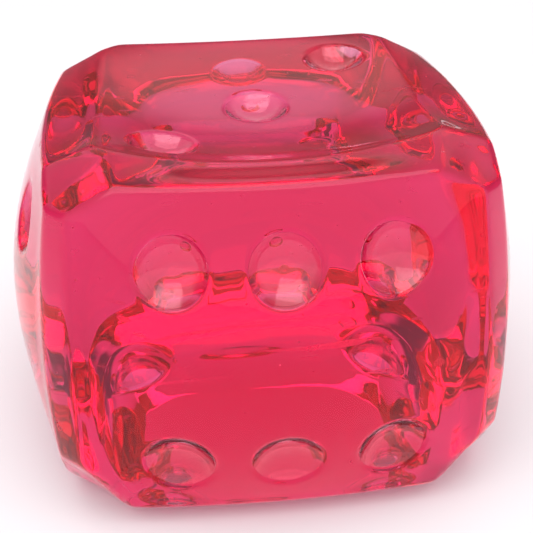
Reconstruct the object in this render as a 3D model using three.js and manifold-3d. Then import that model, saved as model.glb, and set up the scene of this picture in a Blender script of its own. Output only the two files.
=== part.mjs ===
// A clear red casino die: one cast block with cut edges, and 21 dished pip linings set in its pockets.
// Millimetres, +Z up. The origin is the middle of the foot, level with the flats that the die rests on.
import * as THREE from "three";
import { mergeVertices } from "three/addons/utils/BufferGeometryUtils.js";
import Module from "manifold-3d";

// The block. Its four sides swell outwards and lean in a little towards the top, which is sunk.
// Its foot is drawn up into a low arch, open to the back, with flats along its front, left and right.
const WIDTH_OVER_SWELL = 19.05; // three quarters of an inch, over the fullest part of two opposite sides
const SWELL = 2.08; // how far the middle of each side stands out from that side's own corners
const SWELL_SPREAD = 0.45; // 1 lets the swelling reach the borders in full, 0 keeps the borders straight
const HEIGHT = 13.85;
const TAPER = 0.03; // share by which the block is narrower at the top, and wider at the foot, than half way up
const SINK = 1.02; // how far the middle of the top lies below its corners
const SINK_SPREAD = 0.9; // the same for the sink as for the swelling
const SINK_LEAN = 0.8; // share by which the sink is deeper at the front border than in the middle
const ARCH_HEIGHT = 2.4;
const ARCH_HALF_WIDTH = 5.25; // from the middle to the flats at the left and right
const ARCH_START = -4.38; // where the arch begins along y, behind the flat at the front
const ARCH_END = 4; // and where it reaches its full height

// The cut edges. Each leg is measured from the sharp edge that the block would have.
const UPRIGHT_EDGE_LEG = 0.72; // on the four upright edges
const TOP_EDGE_LEG = 1.44; // along the top and bottom faces
const TOP_EDGE_DROP = 0.9; // down the sides, from the top and bottom faces
const CORNER_LEG = 0.75; // how much of each face corner the corner facets take
const FOOT_CORNER_LEG = 1.35; // the four lower corners are cut again: along the foot of a side
const FOOT_CORNER_RISE = 1.9; // and up its upright border
const FOOT_CUTTER_SIZE = 6;
const FACE_CELLS = 12; // surface cells across each face, between the corner cuts

// The pips: round bowls, each with a thin lining of the same curve.
const PIP_SPACING = 3.6; // from the middle of a face to a row or column of pips
const POCKET_RADIUS = 1.25; // where the bowl meets the face
const POCKET_DEPTH = 0.65; // in the middle of the bowl
const CUTTER_TOP = 1.2; // how far the cutter of a pocket stands out of the face
const LINING_RADIUS = 1.13;
const LINING_GAP = 0.03; // between a lining and its pocket
const LINING_MIDDLE = 0.12; // thickness in the middle
const LINING_RIM = 0.03; // thickness at the rim
const ROUND_STEPS = 20;
const BOWL_STEPS = 3;

const HALF = WIDTH_OVER_SWELL / 2 - SWELL; // from the middle to the plane of a side's corners
const HALF_HEIGHT = HEIGHT / 2;
const UPRIGHT_REACH = HALF - UPRIGHT_EDGE_LEG;
const SIDE_REACH = HALF_HEIGHT - TOP_EDGE_DROP;
const TOP_REACH = HALF - TOP_EDGE_LEG;
const BOWL_CURVE = (POCKET_RADIUS ** 2 + POCKET_DEPTH ** 2) / (2 * POCKET_DEPTH); // radius of the bowl's sphere

const wasm = await Module();
wasm.setup();

const clearRed = { color: 0xe0305a, roughness: 0.08, metalness: 0, transparent: true, opacity: 0.6 };
const bodyMaterial = new THREE.MeshStandardMaterial(clearRed);
const pipMaterial = new THREE.MeshStandardMaterial({ ...clearRed, color: 0xe8607e });

// Each face: the axis across it (a), the axis up it (b), the axis out of it (n) and that axis's sign.
const FACES = {
  front: { a: "x", b: "z", n: "y", sign: -1 },
  back: { a: "x", b: "z", n: "y", sign: 1 },
  left: { a: "y", b: "z", n: "x", sign: -1 },
  right: { a: "y", b: "z", n: "x", sign: 1 },
  top: { a: "x", b: "y", n: "z", sign: 1 },
  bottom: { a: "x", b: "y", n: "z", sign: -1 },
};

// How far the flat part of a face that looks along axis n reaches along another axis.
function reach(n, along) {
  if (n === "z") return TOP_REACH;
  return along === "z" ? SIDE_REACH : UPRIGHT_REACH;
}

// A bump of height 1 in the middle of a face and 0 at its corners; u and v run from -1 to 1.
function bump(u, v, spread) {
  const cushion = (1 - u * u) * (1 - v * v);
  const bowl = 1 - (u * u + v * v) / 2;
  return spread * bowl + (1 - spread) * cushion;
}

// The height of a face above the plane of its corners.
function relief(face, u, v) {
  if (face === FACES.bottom) return 0;
  if (face === FACES.top) return -SINK * bump(u, v, SINK_SPREAD) * (1 - SINK_LEAN * v);
  return SWELL * bump(u, v, SWELL_SPREAD);
}

// How far the arch lifts a point. The lift fades out at half the block's height.
function archLift({ x, y, z }) {
  const dome = 1 - Math.min(Math.abs(x) / ARCH_HALF_WIDTH, 1) ** 6;
  const run = THREE.MathUtils.smoothstep(y, ARCH_START, ARCH_END);
  const below = Math.max(-z / HALF_HEIGHT, 0);
  return ARCH_HEIGHT * dome * run * below ** 2;
}

// The point of a face at a and b millimetres from its middle, with z still measured from mid-height.
function facePoint(face, a, b) {
  const u = a / reach(face.n, face.a);
  const v = b / reach(face.n, face.b);
  const plane = face.n === "z" ? HALF_HEIGHT : HALF;
  const point = new THREE.Vector3();
  point[face.a] = a;
  point[face.b] = b;
  point[face.n] = face.sign * (plane + relief(face, u, v));
  point.z += archLift(point);
  const narrowing = 1 - (TAPER * point.z) / HALF_HEIGHT;
  point.x *= narrowing;
  point.y *= narrowing;
  return point;
}

// The outward direction of the surface at a point of a face, from two short steps along it.
function faceNormal(face, a, b) {
  const step = 0.01;
  const alongA = facePoint(face, a + step, b).sub(facePoint(face, a - step, b));
  const alongB = facePoint(face, a, b + step).sub(facePoint(face, a, b - step));
  const normal = alongA.cross(alongB).normalize();
  return normal[face.n] * face.sign < 0 ? normal.negate() : normal;
}

// Grid lines along one axis of a face, the first and last of them at the face's borders.
function gridLines(face, along) {
  const full = reach(face.n, along);
  const inner = full - CORNER_LEG;
  const lines = [-full];
  for (let i = 0; i <= FACE_CELLS; i++) lines.push(inner * ((2 * i) / FACE_CELLS - 1));
  lines.push(full);
  return lines;
}

// The direction out of a face.
function outOf(face) {
  const outward = new THREE.Vector3();
  outward[face.n] = face.sign;
  return outward;
}

// Collects triangles and turns each one to face outwards.
class Skin {
  positions = [];

  triangle(outward, p, q, r) {
    const normal = q.clone().sub(p).cross(r.clone().sub(p));
    const corners = normal.dot(outward) > 0 ? [p, q, r] : [p, r, q];
    for (const corner of corners) this.positions.push(corner.x, corner.y, corner.z);
  }

  quad(outward, p, q, r, s) {
    this.triangle(outward, p, q, r);
    this.triangle(outward, p, r, s);
  }

  geometry() {
    const made = new THREE.BufferGeometry();
    made.setAttribute("position", new THREE.Float32BufferAttribute(this.positions, 3));
    return made;
  }
}

// The six faces as grids, without the four corner triangles that the corner facets take.
const LAST = FACE_CELLS + 2;
const grids = {};
function addFace(skin, name) {
  const face = FACES[name];
  const outward = outOf(face);
  const acrossLines = gridLines(face, face.a);
  const upLines = gridLines(face, face.b);
  const grid = acrossLines.map((a) => upLines.map((b) => facePoint(face, a, b)));
  grids[name] = grid;
  for (let i = 0; i < LAST; i++) {
    for (let j = 0; j < LAST; j++) {
      const cell = [grid[i][j], grid[i + 1][j], grid[i + 1][j + 1], grid[i][j + 1]];
      const endI = i === 0 || i === LAST - 1;
      const endJ = j === 0 || j === LAST - 1;
      if (!(endI && endJ)) {
        skin.quad(outward, ...cell);
        continue;
      }
      const outer = grid[i === 0 ? 0 : LAST][j === 0 ? 0 : LAST];
      const [p, q, r] = cell.filter((corner) => corner !== outer);
      skin.triangle(outward, p, q, r);
    }
  }
}

// The border points of a face on the side where another axis has the given sign.
function border(name, axis, sign) {
  const face = FACES[name];
  const grid = grids[name];
  const at = sign < 0 ? 0 : LAST;
  const points = axis === face.a ? grid[at] : grid.map((column) => column[at]);
  return points.slice(1, LAST);
}

const SIDES = Object.entries(FACES);

// A band between each two neighbouring faces: the cut along their shared edge.
function addEdgeBands(skin) {
  SIDES.forEach(([name, face], i) => {
    for (const [otherName, other] of SIDES.slice(i + 1)) {
      if (other.n === face.n) continue;
      const outward = outOf(face).add(outOf(other));
      const near = border(name, other.n, other.sign);
      const far = border(otherName, face.n, face.sign);
      for (let k = 0; k < near.length - 1; k++) skin.quad(outward, near[k], near[k + 1], far[k + 1], far[k]);
    }
  });
}

// The two points of a face that its corner facet shares with it.
function cornerPair(name, signs) {
  const face = FACES[name];
  const i = signs[face.a] < 0 ? 0 : LAST;
  const j = signs[face.b] < 0 ? 0 : LAST;
  const inwardI = i === 0 ? 1 : LAST - 1;
  const inwardJ = j === 0 ? 1 : LAST - 1;
  return { [face.a]: grids[name][i][inwardJ], [face.b]: grids[name][inwardI][j] };
}

// A six-sided facet on each of the eight corners.
function addCornerFacets(skin) {
  for (const x of [-1, 1]) {
    for (const y of [-1, 1]) {
      for (const z of [-1, 1]) {
        const signs = { x, y, z };
        const outward = new THREE.Vector3(x, y, z);
        const sideX = cornerPair(x < 0 ? "left" : "right", signs);
        const sideY = cornerPair(y < 0 ? "front" : "back", signs);
        const sideZ = cornerPair(z < 0 ? "bottom" : "top", signs);
        const ring = [sideX.y, sideY.x, sideY.z, sideZ.y, sideZ.x, sideX.z];
        const middle = new THREE.Vector3();
        for (const point of ring) middle.addScaledVector(point, 1 / ring.length);
        ring.forEach((point, k) => skin.triangle(outward, middle, point, ring[(k + 1) % ring.length]));
      }
    }
  }
}

function solidFrom(geometry) {
  const bare = geometry.clone();
  bare.deleteAttribute("normal");
  bare.deleteAttribute("uv");
  const merged = mergeVertices(bare, 1e-3);
  const mesh = new wasm.Mesh({
    numProp: 3,
    vertProperties: new Float32Array(merged.attributes.position.array),
    triVerts: new Uint32Array(merged.index.array),
  });
  return new wasm.Manifold(mesh);
}

function geometryFrom(solid) {
  const mesh = solid.getMesh();
  const made = new THREE.BufferGeometry();
  made.setAttribute("position", new THREE.BufferAttribute(new Float32Array(mesh.vertProperties), 3));
  made.setIndex(new THREE.BufferAttribute(new Uint32Array(mesh.triVerts), 1));
  made.computeVertexNormals();
  return made;
}

// The lower half of a bowl's section, from the middle out to a radius: a circular arc, lifted a little.
function bowlProfile(radius, middleLift, rimLift) {
  const points = [];
  for (let i = 0; i <= BOWL_STEPS; i++) {
    const share = i / BOWL_STEPS;
    const across = radius * share;
    const arc = BOWL_CURVE - Math.sqrt(BOWL_CURVE ** 2 - across ** 2);
    const lift = middleLift + (rimLift - middleLift) * share;
    points.push(new THREE.Vector2(across, arc - POCKET_DEPTH + lift));
  }
  return points;
}

// A turned solid whose axis is +Y and whose origin lies on the face.
function pocketCutter() {
  const wall = [new THREE.Vector2(POCKET_RADIUS, CUTTER_TOP), new THREE.Vector2(0, CUTTER_TOP)];
  return new THREE.LatheGeometry([...bowlProfile(POCKET_RADIUS, 0, 0), ...wall], ROUND_STEPS);
}

// A thin dish that lies in the bowl, thickest in the middle.
function liningShape() {
  const under = bowlProfile(LINING_RADIUS, LINING_GAP, LINING_GAP);
  const dish = bowlProfile(LINING_RADIUS, LINING_GAP + LINING_MIDDLE, LINING_GAP + LINING_RIM).reverse();
  return new THREE.LatheGeometry([...under, ...dish], ROUND_STEPS);
}

// Where the pips lie on each face, in steps of the pip spacing along its two axes.
const PIPS = {
  front: {
    six_upper_left: [-1, 1],
    six_upper_middle: [0, 1],
    six_upper_right: [1, 1],
    six_lower_left: [-1, -1],
    six_lower_middle: [0, -1],
    six_lower_right: [1, -1],
  },
  back: { one: [0, 0] },
  left: { two_front: [-1, 1], two_back: [1, -1] },
  top: { three_front: [-1, -1], three_middle: [0, 0], three_back: [1, 1] },
  bottom: {
    four_front_left: [-1, -1],
    four_front_right: [1, -1],
    four_back_left: [-1, 1],
    four_back_right: [1, 1],
  },
  right: {
    five_upper_front: [-1, 1],
    five_upper_back: [1, 1],
    five_middle: [0, 0],
    five_lower_front: [-1, -1],
    five_lower_back: [1, -1],
  },
};

// Stands a turned shape in its place on a face, with its axis along the surface's outward direction.
function standOnFace(object, face, [across, up]) {
  const a = across * PIP_SPACING;
  const b = up * PIP_SPACING;
  object.position.copy(facePoint(face, a, b));
  object.quaternion.setFromUnitVectors(new THREE.Vector3(0, 1, 0), faceNormal(face, a, b));
  object.updateMatrix();
  return object;
}

// A block that takes one lower corner off, with one flat side on the plane of the cut.
function footCornerCutter(x, y) {
  const frontOrBack = y < 0 ? FACES.front : FACES.back;
  const leftOrRight = x < 0 ? FACES.left : FACES.right;
  const onFoot = facePoint(frontOrBack, x * (UPRIGHT_REACH - FOOT_CORNER_LEG), -SIDE_REACH);
  const onOtherFoot = facePoint(leftOrRight, y * (UPRIGHT_REACH - FOOT_CORNER_LEG), -SIDE_REACH);
  const onUpright = facePoint(frontOrBack, x * UPRIGHT_REACH, FOOT_CORNER_RISE - SIDE_REACH);
  const outward = onOtherFoot.clone().sub(onFoot).cross(onUpright.clone().sub(onFoot)).normalize();
  if (outward.dot(onFoot) < 0) outward.negate();
  const cutter = new THREE.Object3D();
  cutter.position.copy(onFoot).add(onOtherFoot).multiplyScalar(0.5);
  cutter.position.addScaledVector(outward, FOOT_CUTTER_SIZE / 2);
  cutter.quaternion.setFromUnitVectors(new THREE.Vector3(0, 0, 1), outward);
  cutter.updateMatrix();
  const shape = new THREE.BoxGeometry(2 * FOOT_CUTTER_SIZE, 2 * FOOT_CUTTER_SIZE, FOOT_CUTTER_SIZE);
  return shape.applyMatrix4(cutter.matrix);
}

function dieBody() {
  const skin = new Skin();
  for (const name of Object.keys(FACES)) addFace(skin, name);
  addEdgeBands(skin);
  addCornerFacets(skin);
  let solid = solidFrom(skin.geometry());
  for (const x of [-1, 1]) {
    for (const y of [-1, 1]) solid = solid.subtract(solidFrom(footCornerCutter(x, y)));
  }
  for (const [faceName, pips] of Object.entries(PIPS)) {
    for (const place of Object.values(pips)) {
      const cutter = standOnFace(new THREE.Object3D(), FACES[faceName], place);
      const shape = pocketCutter().applyMatrix4(cutter.matrix);
      solid = solid.subtract(solidFrom(shape));
    }
  }
  const body = new THREE.Mesh(geometryFrom(solid), bodyMaterial);
  body.name = "die_body";
  return body;
}

const die = new THREE.Group();
die.position.z = HALF_HEIGHT;
die.add(dieBody());
for (const [faceName, pips] of Object.entries(PIPS)) {
  for (const [pipName, place] of Object.entries(pips)) {
    const lining = new THREE.Mesh(liningShape(), pipMaterial);
    lining.name = "pip_" + pipName;
    die.add(standOnFace(lining, FACES[faceName], place));
  }
}

const group = new THREE.Group();
group.add(die);

export default group;
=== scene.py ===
import math

import bmesh
import bpy
import numpy as np
from mathutils import Matrix, Vector


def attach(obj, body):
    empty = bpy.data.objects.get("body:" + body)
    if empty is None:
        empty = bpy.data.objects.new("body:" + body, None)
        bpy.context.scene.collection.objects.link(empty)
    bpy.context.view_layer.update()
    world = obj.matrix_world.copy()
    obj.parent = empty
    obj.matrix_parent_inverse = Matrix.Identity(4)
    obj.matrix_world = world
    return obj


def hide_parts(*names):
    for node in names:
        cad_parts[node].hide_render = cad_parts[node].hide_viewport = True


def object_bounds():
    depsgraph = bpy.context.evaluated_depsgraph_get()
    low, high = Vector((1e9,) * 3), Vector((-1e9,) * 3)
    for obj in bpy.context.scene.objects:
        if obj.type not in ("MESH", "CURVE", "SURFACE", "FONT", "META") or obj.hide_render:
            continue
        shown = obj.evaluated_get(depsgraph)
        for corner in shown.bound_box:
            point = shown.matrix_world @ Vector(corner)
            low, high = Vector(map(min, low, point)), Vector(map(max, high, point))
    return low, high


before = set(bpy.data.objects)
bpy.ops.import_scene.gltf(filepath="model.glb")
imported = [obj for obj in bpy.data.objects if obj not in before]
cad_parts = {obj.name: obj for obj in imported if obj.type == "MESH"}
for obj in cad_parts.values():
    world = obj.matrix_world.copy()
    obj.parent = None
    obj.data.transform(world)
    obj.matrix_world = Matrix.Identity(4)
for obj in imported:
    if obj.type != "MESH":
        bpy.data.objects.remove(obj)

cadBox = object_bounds()
mm = 0.001  # shapes are worked out in millimetres, and every mesh is stored in metres
scene = bpy.context.scene


def linearColour(hexColour, alpha=1.0):
    # sRGB hex to linear: the low end is a straight line, the rest a 2.4 power
    parts = np.array([int(hexColour[i:i + 2], 16) / 255 for i in (1, 3, 5)])
    linear = np.where(parts <= 0.04045, parts / 12.92, ((parts + 0.055) / 1.055) ** 2.4)
    return (*[float(part) for part in linear], alpha)


cameraPlace = {
    "position": (-3.44, -37.6, 25.91),  # in mm from the middle of the foot
    "turn": 5.64,  # degrees to the right of straight on
    "tilt": -27.7,  # degrees above level
    "roll": -1.18,
    "lens": 71.74,
}


def placeCamera(place):
    # forward is the level direction at the turn, lifted by the tilt; right and up follow and roll about it
    turn, tilt, roll = (math.radians(place[key]) for key in ("turn", "tilt", "roll"))
    forward = Vector((math.sin(turn) * math.cos(tilt), math.cos(turn) * math.cos(tilt), math.sin(tilt)))
    levelRight = forward.cross(Vector((0, 0, 1))).normalized()
    levelUp = levelRight.cross(forward)
    right = levelRight * math.cos(roll) + levelUp * math.sin(roll)
    up = levelUp * math.cos(roll) - levelRight * math.sin(roll)
    camera = bpy.data.objects.new("camera", bpy.data.cameras.new("camera"))
    camera.data.lens = place["lens"]
    camera.data.clip_start = 0.002
    camera.data.clip_end = 10
    pose = Matrix((right, up, -forward)).transposed().to_4x4()
    pose.translation = Vector(place["position"]) * mm
    camera.matrix_world = pose
    scene.collection.objects.link(camera)
    scene.camera = camera


placeCamera(cameraPlace)
print("camera placed")


block = {
    "height": 13.85,
    "taper": 0.03,  # share by which it is narrower at the top, and wider at the foot, than half way up
    "swell": 2.08,  # how far the middle of each side stands out from its corners
    "swellSpread": 0.45,  # 0 keeps a side's border straight, 1 bows it fully
    "sink": 1.02,  # how far the middle of the top lies below its corners
    "archHeight": 2.4,  # how far the foot is drawn in under its back half
    "archHalfWidth": 5.25,  # from the middle to the flats at the left and right
    "archStart": -4.38,  # where the arch begins, behind the flat at the front
    "archEnd": 4.0,  # and where it reaches its full height
    "sinkSpread": 0.9,  # 0 keeps the top's border straight, 1 bows it fully
    "sinkLean": 0.8,  # how much deeper the sink is at the front border than in the middle
    "uprightLeg": 0.72,  # cut of the four upright edges, from the sharp edge
    "topLeg": 1.44,  # cut of the top and bottom edges, along the top
    "topDrop": 0.90,  # the same, down the sides
    "cornerLeg": 0.75,  # what the corner facets take of each face corner
    "footLeg": 1.35,  # the second cut of the four lower corners, along the foot of a side
    "footRise": 1.90,  # the same, up the upright edges
    "edgeSharpness": 20.0,  # per mm; a higher number rounds the cut edges less
    "borderSoftness": 0.18,  # mm over which a swollen side runs into its border
    "pipSpacing": 3.6,
    "pipBandCells": 32,  # cells across the square round a pip
    "rimCells": 14,  # cells from the outermost pip square to the sharp edge
    "plainCells": 4,  # how many of those lie before the cut edges
    "edgeStrip": 0.2,  # mm before the cut edges where the fine cells start
    "coreInset": 0.4,  # mm from the cut edges in to the core that the surface is measured from
    "farthest": 4.0,  # mm from that core, beyond every point of the surface
    "halvings": 30,  # of that distance, to find the surface
    "normalStep": 0.01,  # mm to each side, to find how the surface lies at a pip
    "weld": 0.002,  # mm between points of neighbouring faces that are the same point
}
block["half"] = -cadBox[0][0] / mm - block["swell"]
block["halfHeight"] = block["height"] / 2
block["uprightReach"] = block["half"] - block["uprightLeg"]
block["topReach"] = block["half"] - block["topLeg"]
block["sideReach"] = block["halfHeight"] - block["topDrop"]

pocket = {
    "radius": 1.25,  # where the bowl would meet the face
    "depth": 0.65,
    "rimRound": 0.3,  # radius of the softened rim
    "bowlShare": 9 / 16,  # share of the rings that lie in the bowl
    "rimShare": 13 / 16,  # and where the rings of the rim end
    "roundShare": 0.9,  # from here out the rings turn into squares
}
pocket["curve"] = (pocket["radius"] ** 2 + pocket["depth"] ** 2) / (2 * pocket["depth"])
pocket["centreHeight"] = pocket["curve"] - pocket["depth"]  # of the bowl's sphere, above the face
pocket["rimRadius"] = math.sqrt((pocket["curve"] + pocket["rimRound"]) ** 2
                                - (pocket["centreHeight"] + pocket["rimRound"]) ** 2)
pocket["bowlAngle"] = math.asin(pocket["rimRadius"] / (pocket["curve"] + pocket["rimRound"]))

faces = {  # axes across, up and out of each face, and the sign of the last
    "front": (0, 2, 1, -1),
    "back": (0, 2, 1, 1),
    "left": (1, 2, 0, -1),
    "right": (1, 2, 0, 1),
    "top": (0, 1, 2, 1),
    "bottom": (0, 1, 2, -1),
}

pipPlaces = {  # in steps of the pip spacing along a face's two axes
    "front": {"pip_six_upper_left": (-1, 1), "pip_six_upper_middle": (0, 1),
              "pip_six_upper_right": (1, 1), "pip_six_lower_left": (-1, -1),
              "pip_six_lower_middle": (0, -1), "pip_six_lower_right": (1, -1)},
    "back": {"pip_one": (0, 0)},
    "left": {"pip_two_front": (-1, 1), "pip_two_back": (1, -1)},
    "top": {"pip_three_front": (-1, -1), "pip_three_middle": (0, 0), "pip_three_back": (1, 1)},
    "bottom": {"pip_four_front_left": (-1, -1), "pip_four_front_right": (1, -1),
               "pip_four_back_left": (-1, 1), "pip_four_back_right": (1, 1)},
    "right": {"pip_five_upper_front": (-1, 1), "pip_five_upper_back": (1, 1), "pip_five_middle": (0, 0),
              "pip_five_lower_front": (-1, -1), "pip_five_lower_back": (1, -1)},
}


def cutPlanes():
    # every flat of the unswollen block as outward normal and distance:
    # 6 faces, 12 edge bands, 8 corner facets and the second cut of the 4 lower corners
    half, halfHeight = block["half"], block["halfHeight"]
    normals, distances = [], []

    def addPlane(normal, through):
        normal = np.array(normal, float)
        normal /= np.linalg.norm(normal)
        normals.append(normal)
        distances.append(float(normal @ np.array(through, float)))

    drop, leg = block["topDrop"], block["topLeg"]
    upright, side, top = block["uprightReach"], block["sideReach"], block["topReach"]
    corner = block["cornerLeg"]
    cornerLift = (upright + half - 2 * top + corner) / (halfHeight - side + corner)
    footCut = block["footLeg"] / block["footRise"]
    for x in (-1, 1):
        addPlane((x, 0, 0), (x * half, 0, 0))
        addPlane((0, x, 0), (0, x * half, 0))
        addPlane((0, 0, x), (0, 0, x * halfHeight))
        for z in (-1, 1):
            addPlane((x, z, 0), (x * half, z * upright, 0))
            addPlane((x * drop, 0, z * leg), (x * half, 0, z * side))
            addPlane((0, x * drop, z * leg), (0, x * half, z * side))
            for y in (-1, 1):
                addPlane((x, y, z * cornerLift), (x * upright, y * half, z * (side - corner)))
        for y in (-1, 1):
            addPlane((x, y, -footCut), (x * (upright - block["footLeg"]), y * half, -side))
    return np.array(normals), np.array(distances)


planeNormals, planeDistances = cutPlanes()


def outside(points):
    # how far points stand outside the block: a soft maximum over all planes, which rounds every edge
    gaps = points @ planeNormals.T - planeDistances
    most = gaps.max(-1, keepdims=True)
    sharp = block["edgeSharpness"]
    return most[..., 0] + np.log(np.exp(sharp * (gaps - most)).sum(-1)) / sharp


def ontoBlock(sharpPoints):
    # from a sharp box to the cut and rounded one: each point slides along the line from the nearest point
    # of a smaller box inside
    core = np.array([block["topReach"], block["topReach"], block["sideReach"]]) - block["coreInset"]
    inner = np.clip(sharpPoints, -core, core)
    lines = sharpPoints - inner
    lines /= np.linalg.norm(lines, axis=-1, keepdims=True)
    low = np.zeros(sharpPoints.shape[:-1])
    high = np.full(sharpPoints.shape[:-1], block["farthest"])
    for _ in range(block["halvings"]):  # halving the range that holds the surface
        middle = (low + high) / 2
        isOut = outside(inner + lines * middle[..., None]) > 0
        high = np.where(isOut, middle, high)
        low = np.where(isOut, low, middle)
    return inner + lines * low[..., None]


def softClamp(values, softness):
    # the values held between -1 and 1, with both bends rounded over the given softness
    above = np.logaddexp(0, (values - 1) / softness) * softness
    below = np.logaddexp(0, (-values - 1) / softness) * softness
    return values - above + below


def bump(u, v, spread):
    # 1 in the middle of a face and 0 at its corners
    cushion = (1 - u ** 2) * (1 - v ** 2)
    bowl = 1 - (u ** 2 + v ** 2) / 2
    return spread * bowl + (1 - spread) * cushion


def faceReach(face):
    across, up, out, sign = faces[face]
    if out == 2:
        return block["topReach"], block["topReach"]
    return block["uprightReach"], block["sideReach"]


def relief(face, points):
    # how far a face's swelling or sink moves points along its outward axis
    across, up, out, sign = faces[face]
    reachAcross, reachUp = faceReach(face)
    softness = block["borderSoftness"]
    u = softClamp(points[..., across] / reachAcross, softness / reachAcross)
    v = softClamp(points[..., up] / reachUp, softness / reachUp)
    if face == "top":
        return -block["sink"] * bump(u, v, block["sinkSpread"]) * (1 - block["sinkLean"] * v)
    return block["swell"] * bump(u, v, block["swellSpread"])


def swollen(points):
    # the block's points after its faces have swelled or sunk; that fades to nothing across each edge band
    moved = points.copy()
    for face, (across, up, out, sign) in faces.items():
        if face == "bottom":
            continue
        plane = block["halfHeight"] if out == 2 else block["half"]
        below = plane - sign * points[..., out]
        fade = np.clip(1 - below / (block["topDrop"] if out == 2 else block["topLeg"]), 0, 1)
        moved[..., out] += sign * relief(face, points) * fade * fade * (3 - 2 * fade)
    return moved


def arched(points):
    # lifts the foot into a low arch: a sixth-power dome across, a smooth step from front to back,
    # and a fade with the square of the distance below mid-height
    x, y, z = points[..., 0], points[..., 1], points[..., 2]
    dome = 1 - np.clip(np.abs(x) / block["archHalfWidth"], 0, 1) ** 6
    run = np.clip((y - block["archStart"]) / (block["archEnd"] - block["archStart"]), 0, 1)
    below = np.clip(-z / block["halfHeight"], 0, 1)
    lifted = points.copy()
    lifted[..., 2] += block["archHeight"] * dome * run * run * (3 - 2 * run) * below * below
    return lifted


def gridLines(reach, sharpEnd):
    # even lines over the three pip squares, then lines that crowd towards the sharp edge
    inner = 1.5 * block["pipSpacing"]
    middle = np.linspace(-inner, inner, 3 * block["pipBandCells"] + 1)
    edgeStart = reach - block["edgeStrip"]
    plain = np.linspace(inner, edgeStart, block["plainCells"] + 1)[1:]
    edge = np.linspace(edgeStart, sharpEnd, block["rimCells"] - block["plainCells"] + 1)[1:]
    outer = np.concatenate([plain, edge])
    return np.concatenate([-outer[::-1], middle, outer])


def surfacePoint(face, a, b):
    # the finished surface of a face at a and b millimetres from its middle, leaning in towards the top
    across, up, out, sign = faces[face]
    points = np.zeros((*np.shape(a), 3))
    points[..., across] = a
    points[..., up] = b
    points[..., out] = sign * (block["halfHeight"] if out == 2 else block["half"])
    points = arched(swollen(ontoBlock(points)))
    points[..., :2] *= 1 - block["taper"] * points[..., 2:] / block["halfHeight"]
    return points


def pipFrame(face, place):
    # the surface's two directions and its outward one in the middle of a pip
    across, up, out, sign = faces[face]
    a, b = (step * block["pipSpacing"] for step in place)
    step = block["normalStep"]
    aroundA = np.array([a + step, a - step, a, a])
    aroundB = np.array([b, b, b + step, b - step])
    around = surfacePoint(face, aroundA, aroundB)
    first = around[0] - around[1]
    first /= np.linalg.norm(first)
    second = around[2] - around[3]
    second -= first * (first @ second)
    second /= np.linalg.norm(second)
    normal = np.cross(first, second)
    return first, second, normal * sign * np.sign(normal[out])


def pipPoint(face, place, along, aside, depth, roundness=1.0):
    # a point near a pip: along and aside are millimetres in the tangent plane, depth is under the surface;
    # roundness 0 takes the two distances straight along the face's grid instead
    across, up, out, sign = faces[face]
    first, second, normal = pipFrame(face, place)
    flatA = along * first[across] + aside * second[across]
    flatB = along * first[up] + aside * second[up]
    a = place[0] * block["pipSpacing"] + roundness * flatA + (1 - roundness) * along
    b = place[1] * block["pipSpacing"] + roundness * flatB + (1 - roundness) * aside
    return surfacePoint(face, a, b) - np.asarray(depth)[..., None] * normal


def pocketProfile(share):
    # radius and depth on the way out from a pip's middle (0) to its square (1):
    # a circular arc for the bowl, a small arc the other way for the rim, then the plain face
    bowlShare, rimShare, bowlAngle = pocket["bowlShare"], pocket["rimShare"], pocket["bowlAngle"]
    inBowl = bowlAngle * share / bowlShare
    onRim = bowlAngle * (rimShare - share) / (rimShare - bowlShare)
    outward = (share - rimShare) / (1 - rimShare)
    radius = np.select(
        [share <= bowlShare, share <= rimShare],
        [pocket["curve"] * np.sin(inBowl), pocket["rimRadius"] - pocket["rimRound"] * np.sin(onRim)],
        pocket["rimRadius"] + outward * (block["pipSpacing"] / 2 - pocket["rimRadius"]))
    depth = np.select(
        [share <= bowlShare, share <= rimShare],
        [pocket["curve"] * np.cos(inBowl) - pocket["centreHeight"],
         pocket["rimRound"] * (1 - np.cos(onRim))], 0.0)
    return radius, depth


def addPocket(face, place, points):
    # squares of the grid become rings: each ring takes its radius and depth from the pocket's profile,
    # and its angle runs evenly along each side of the square
    cells = block["pipBandCells"]
    start = [block["rimCells"] + cells * (step + 1) for step in place]
    p, q = np.meshgrid(np.linspace(-1, 1, cells + 1), np.linspace(-1, 1, cells + 1), indexing="ij")
    share = np.maximum(np.abs(p), np.abs(q))
    wide = np.abs(p) >= np.abs(q)
    angle = math.pi / 4 * np.where(wide, q / np.where(p == 0, 1, p), p / np.where(q == 0, 1, q))
    roundP = np.where(wide, np.sign(p) * np.cos(angle), np.sign(q) * np.sin(angle))
    roundQ = np.where(wide, np.sign(p) * np.sin(angle), np.sign(q) * np.cos(angle))
    roundness = np.clip((1 - share) / (1 - pocket["roundShare"]), 0, 1)
    safe = np.where(share > 0, share, 1)
    radius, depth = pocketProfile(share)
    along = radius * (roundness * roundP + (1 - roundness) * p / safe)
    aside = radius * (roundness * roundQ + (1 - roundness) * q / safe)
    rings = pipPoint(face, place, along, aside, depth, roundness)
    points[start[0]:start[0] + cells + 1, start[1]:start[1] + cells + 1] = rings


def faceGrid(face):
    across, up, out, sign = faces[face]
    reachAcross, reachUp = faceReach(face)
    sharp = np.full(3, block["half"])
    sharp[2] = block["halfHeight"]
    a, b = np.meshgrid(gridLines(reachAcross, sharp[across]), gridLines(reachUp, sharp[up]), indexing="ij")
    points = surfacePoint(face, a, b)
    for place in pipPlaces[face].values():
        addPocket(face, place, points)
    return points


def gridQuads(rows, columns, start):
    # corner numbers of the cells of a grid stored row by row
    i, j = np.meshgrid(np.arange(rows - 1), np.arange(columns - 1), indexing="ij")
    first = start + i * columns + j
    return np.stack([first, first + columns, first + columns + 1, first + 1], -1).reshape(-1, 4)


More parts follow.
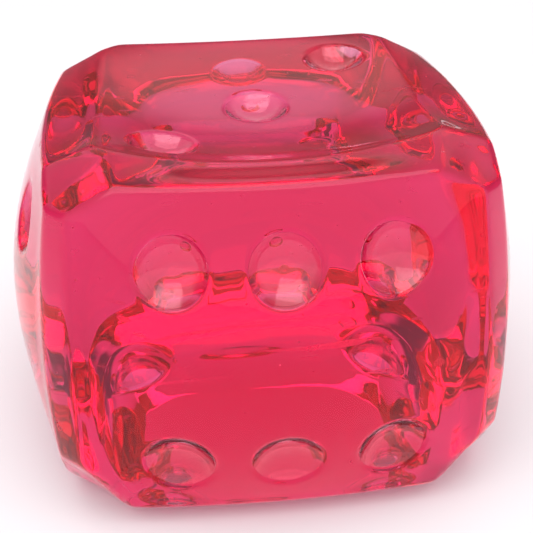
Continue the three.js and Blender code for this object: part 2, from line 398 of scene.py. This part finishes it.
def makeMesh(name, points, quads, mergeDistance):
    mesh = bpy.data.meshes.new(name)
    mesh.from_pydata((points * mm).tolist(), [], quads.tolist())
    work = bmesh.new()
    work.from_mesh(mesh)
    bmesh.ops.remove_doubles(work, verts=work.verts, dist=mergeDistance * mm)
    bmesh.ops.dissolve_degenerate(work, edges=work.edges, dist=1e-9)
    bmesh.ops.recalc_face_normals(work, faces=work.faces)
    openEdges = sum(1 for edge in work.edges if not edge.is_manifold)
    if work.calc_volume(signed=True) < 0:
        bmesh.ops.reverse_faces(work, faces=work.faces)
    work.to_mesh(mesh)
    work.free()
    mesh.polygons.foreach_set("use_smooth", np.ones(len(mesh.polygons), bool))
    made = bpy.data.objects.new(name, mesh)
    scene.collection.objects.link(made)
    print(name, len(mesh.polygons), "faces,", openEdges, "open edges")
    return made


def makeBlock():
    allPoints, allQuads, count = [], [], 0
    for face in faces:
        points = faceGrid(face)
        rows, columns = points.shape[:2]
        allPoints.append(points.reshape(-1, 3))
        allQuads.append(gridQuads(rows, columns, count))
        count += rows * columns
    points = np.concatenate(allPoints) + np.array([0, 0, block["halfHeight"]])
    return makeMesh("clearRedBlock", points, np.concatenate(allQuads), block["weld"])


blockPiece = makeBlock()
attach(blockPiece, "root")
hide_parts("die_body")
print("block made")


lining = {
    "radius": 1.17,
    "middleGap": 0.03,  # between a lining and its pocket, in the middle
    "rimGap": 0.008,
    "middle": 0.12,  # thickness in the middle
    "rim": 0.006,  # thickness at the rim, where the resin has crept up the bowl
    "turns": 64,  # cells round the lining
    "bowlCells": 12,
    "weld": 0.0005,  # mm
    "sharpAngle": 50,  # degrees between cells, above which their edge is shaded sharp
}


def liningProfile():
    # about the centre of the bowl's sphere: radius = reach sin(angle), depth = reach cos(angle) - height;
    # out along the underside and back along the dish, both running together towards the rim
    rimAngle = math.asin(lining["radius"] / (pocket["curve"] - lining["rimGap"]))
    outward = np.linspace(0, rimAngle, lining["bowlCells"] + 1)
    share = outward / rimAngle
    under = pocket["curve"] - lining["middleGap"] - (lining["rimGap"] - lining["middleGap"]) * share
    dish = under - lining["middle"] - (lining["rim"] - lining["middle"]) * share
    reach = np.concatenate([under, dish[::-1]])
    angles = np.concatenate([outward, outward[::-1]])
    return reach * np.sin(angles), reach * np.cos(angles) - pocket["centreHeight"]


def makeLining(node, face, place):
    # the profile turned about the pip's own axis, following the surface round the pip as the pocket does
    radii, depths = liningProfile()
    turn = np.linspace(0, 2 * math.pi, lining["turns"] + 1)
    radius, angle = np.meshgrid(radii, turn)
    depth = np.broadcast_to(depths, radius.shape)
    points = pipPoint(face, place, radius * np.cos(angle), radius * np.sin(angle), depth)
    points = points + np.array([0, 0, block["halfHeight"]])
    name = "lining" + "".join(word.capitalize() for word in node.split("_")[1:])
    made = makeMesh(name, points.reshape(-1, 3), gridQuads(*points.shape[:2], 0), lining["weld"])
    made.data.set_sharp_from_angle(angle=math.radians(lining["sharpAngle"]))
    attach(made, "root")
    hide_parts(node)
    return made


liningPieces = [makeLining(node, face, place)
                for face, pips in pipPlaces.items() for node, place in pips.items()]
print("pips made")


def addNode(tree, kind, settings=None, **links):
    # one node with its settings, its input values and its links; a link is a (node, output) pair,
    # and an input goes by its name with underscores for spaces, or by i and its number
    node = tree.nodes.new(kind)
    for key, value in (settings or {}).items():
        setattr(node, key, value)
    for key, value in links.items():
        isNumbered = key[0] == "i" and key[1:].isdigit()
        socket = node.inputs[int(key[1:]) if isNumbered else key.replace("_", " ")]
        if isinstance(value, tuple) and isinstance(value[0], bpy.types.Node):
            tree.links.new(value[0].outputs[value[1]], socket)
        else:
            socket.default_value = value
    return node


def newMaterial(name):
    material = bpy.data.materials.new(name)
    material.use_nodes = True
    material.node_tree.nodes.clear()
    return material, material.node_tree


acrylic = {
    "kept": "#F73AB6",  # what the dyed mass lets through, so the colour deepens with the way through
    "density": 225.0,  # of the dye, per metre
    "ior": 1.49,
    "gloss": "#FFC4CE",  # tint of the skin's head-on reflection
    "polish": 0.012,  # roughness where the tumbling has polished it
    "scuffSize": 1.3,  # mm from one dull patch to the next
    "scuffDetail": 6.0,
    "scuffRange": (0.5, 0.8),  # of the noise, from polished to fully dull
    "rippleSize": 3.6,  # mm from one slow wave of the cast skin to the next
    "rippleDepth": 0.045,  # mm
    "rippleDetail": 1.5,
    "scratchLength": 9.0,  # mm, of the hairline scratches
    "scratchWidth": 0.35,  # mm from one to the next
    "scratchTurn": (0.5, 0.3, 0.9),  # radians, the way they run
    "scratchRange": (0.74, 0.78),  # of the noise, so only its peaks are scratches
    "scratchRoughness": 0.25,
    "speckSpacing": 1.2,  # mm between specks of dust in the skin
    "speckRange": (0.027, 0.045),  # shares of that spacing, from a speck's solid part to its edge
    "speckRoughness": 0.6,
}

# what sets the two finishes apart: a tint of the skin, and its roughness where handling has dulled it
blockFinish = {"tint": "#FFF6F7", "scuffed": 0.07}
liningFinish = {"tint": "#FFEDF0", "scuffed": 0.14}


def castAcrylic(name, finish):
    # the shared make of both: a clear dielectric skin with slow waves, dull patches, hairline scratches and
    # specks of dust, round a mass that is dyed right through
    material, tree = newMaterial(name)
    place = addNode(tree, "ShaderNodeTexCoord")

    def perMetre(key):
        return 1 / (acrylic[key] * mm)

    def ramp(value, bounds, start, end):
        return addNode(tree, "ShaderNodeMapRange", Value=value, From_Min=bounds[0], From_Max=bounds[1],
                       To_Min=start, To_Max=end)

    ripple = addNode(tree, "ShaderNodeTexNoise", Vector=(place, "Object"), Scale=perMetre("rippleSize"),
                     Detail=acrylic["rippleDetail"])
    wave = addNode(tree, "ShaderNodeBump", Strength=1.0, Distance=acrylic["rippleDepth"] * mm,
                   Height=(ripple, "Fac"))
    scuff = addNode(tree, "ShaderNodeTexNoise", Vector=(place, "Object"), Scale=perMetre("scuffSize"),
                    Detail=acrylic["scuffDetail"])
    dull = ramp((scuff, "Fac"), acrylic["scuffRange"], acrylic["polish"], finish["scuffed"])
    drawn = addNode(tree, "ShaderNodeMapping", Vector=(place, "Object"), Rotation=acrylic["scratchTurn"],
                    Scale=(perMetre("scratchLength"), perMetre("scratchWidth"), perMetre("scratchWidth")))
    scratch = addNode(tree, "ShaderNodeTexNoise", Vector=(drawn, "Vector"), Scale=1.0, Detail=0.0)
    scratched = ramp((scratch, "Fac"), acrylic["scratchRange"], 0.0, acrylic["scratchRoughness"])
    dust = addNode(tree, "ShaderNodeTexVoronoi", Vector=(place, "Object"), Scale=perMetre("speckSpacing"))
    speck = ramp((dust, "Distance"), acrylic["speckRange"], acrylic["speckRoughness"], 0.0)
    worn = addNode(tree, "ShaderNodeMath", {"operation": "ADD"},
                   i0=(dull, "Result"), i1=(scratched, "Result"))
    rough = addNode(tree, "ShaderNodeMath", {"operation": "ADD"}, i0=(worn, "Value"), i1=(speck, "Result"))
    shader = addNode(tree, "ShaderNodeBsdfPrincipled", Base_Color=linearColour(finish["tint"]),
                     Roughness=(rough, "Value"), IOR=acrylic["ior"], Transmission_Weight=1.0,
                     Specular_Tint=linearColour(acrylic["gloss"]), Normal=(wave, "Normal"))
    inside = addNode(tree, "ShaderNodeVolumeAbsorption", Color=linearColour(acrylic["kept"]),
                     Density=acrylic["density"])
    addNode(tree, "ShaderNodeOutputMaterial", Surface=(shader, "BSDF"), Volume=(inside, "Volume"))
    return material


def tumbledRedAcrylic():
    # acrylic cast in a mould, dyed in the mass and tumble polished: wet looking, pale pink where the way
    # through is short and deep crimson where it is long
    return castAcrylic("tumbledRedAcrylic", blockFinish)


def dippedPipResin():
    # a drop of the same resin left to set in each bowl: as clear, and a little duller, because nothing
    # polishes it
    return castAcrylic("dippedPipResin", liningFinish)


blockPiece.data.materials.append(tumbledRedAcrylic())
pipMaterial = dippedPipResin()
for piece in liningPieces:
    piece.data.materials.append(pipMaterial)
print("materials made")


stage = {
    "floor": "#D4D1D3",
    "floorRoughness": 0.9,
    "floorSize": 600.0,  # mm
    "floorDrop": 0.02,  # mm between the floor and the flats that the die rests on
    "sky": "#FFFDFE",
    "skyFront": 1.6,  # brightness of the room on the camera's side
    "skyWall": 0.2,  # behind the die, low down
    "skyHigh": 1.05,  # behind the die, high up
    "wallEnd": 0.35,  # sine of the height where the wall starts to brighten
    "ceilingStart": 0.6,  # and where it has reached the ceiling's brightness
    "frontEnd": -0.4,  # how far back the front's brightness reaches, as the direction's part along Y
    "backStart": 0.1,  # and where the back's takes over
    "keyPlace": (-20.0, -80.0, 200.0),
    "keySize": 240.0,
    "keyPower": 0.42,
}


def makeFloor():
    size = stage["floorSize"] * mm / 2
    level = -stage["floorDrop"] * mm
    mesh = bpy.data.meshes.new("floor")
    corners = [(-size, -size, level), (size, -size, level), (size, size, level), (-size, size, level)]
    mesh.from_pydata(corners, [], [(0, 1, 2, 3)])
    floor = bpy.data.objects.new("floor", mesh)
    scene.collection.objects.link(floor)
    material, tree = newMaterial("paleFloor")
    shader = addNode(tree, "ShaderNodeBsdfPrincipled", Base_Color=linearColour(stage["floor"]),
                     Roughness=stage["floorRoughness"])
    addNode(tree, "ShaderNodeOutputMaterial", Surface=(shader, "BSDF"))
    mesh.materials.append(material)


def makeSky():
    # a soft wash: one brightness in front, and behind a dim wall under a bright ceiling
    world = bpy.data.worlds.new("studio")
    world.use_nodes = True
    tree = world.node_tree
    tree.nodes.clear()
    place = addNode(tree, "ShaderNodeTexCoord")
    parts = addNode(tree, "ShaderNodeSeparateXYZ", Vector=(place, "Generated"))
    behind = addNode(tree, "ShaderNodeMapRange", {"interpolation_type": "SMOOTHSTEP"}, Value=(parts, "Z"),
                     From_Min=stage["wallEnd"], From_Max=stage["ceilingStart"], To_Min=stage["skyWall"],
                     To_Max=stage["skyHigh"])
    strength = addNode(tree, "ShaderNodeMapRange", {"interpolation_type": "SMOOTHSTEP"}, Value=(parts, "Y"),
                       From_Min=stage["frontEnd"], From_Max=stage["backStart"], To_Min=stage["skyFront"],
                       To_Max=(behind, "Result"))
    light = addNode(tree, "ShaderNodeBackground", Color=linearColour(stage["sky"]),
                    Strength=(strength, "Result"))
    addNode(tree, "ShaderNodeOutputWorld", Surface=(light, "Background"))
    scene.world = world


def makeKeyLight():
    data = bpy.data.lights.new("keyLight", "AREA")
    data.size = stage["keySize"] * mm
    data.energy = stage["keyPower"]
    lamp = bpy.data.objects.new("keyLight", data)
    lamp.location = Vector(stage["keyPlace"]) * mm
    aim = Vector((0, 0, block["halfHeight"] * mm)) - lamp.location
    lamp.rotation_euler = aim.to_track_quat("-Z", "Y").to_euler()
    scene.collection.objects.link(lamp)


makeFloor()
makeSky()
makeKeyLight()
scene.view_settings.view_transform = "Standard"
scene.cycles.max_bounces = 24
scene.cycles.transmission_bounces = 24
scene.cycles.glossy_bounces = 12
print("stage made")
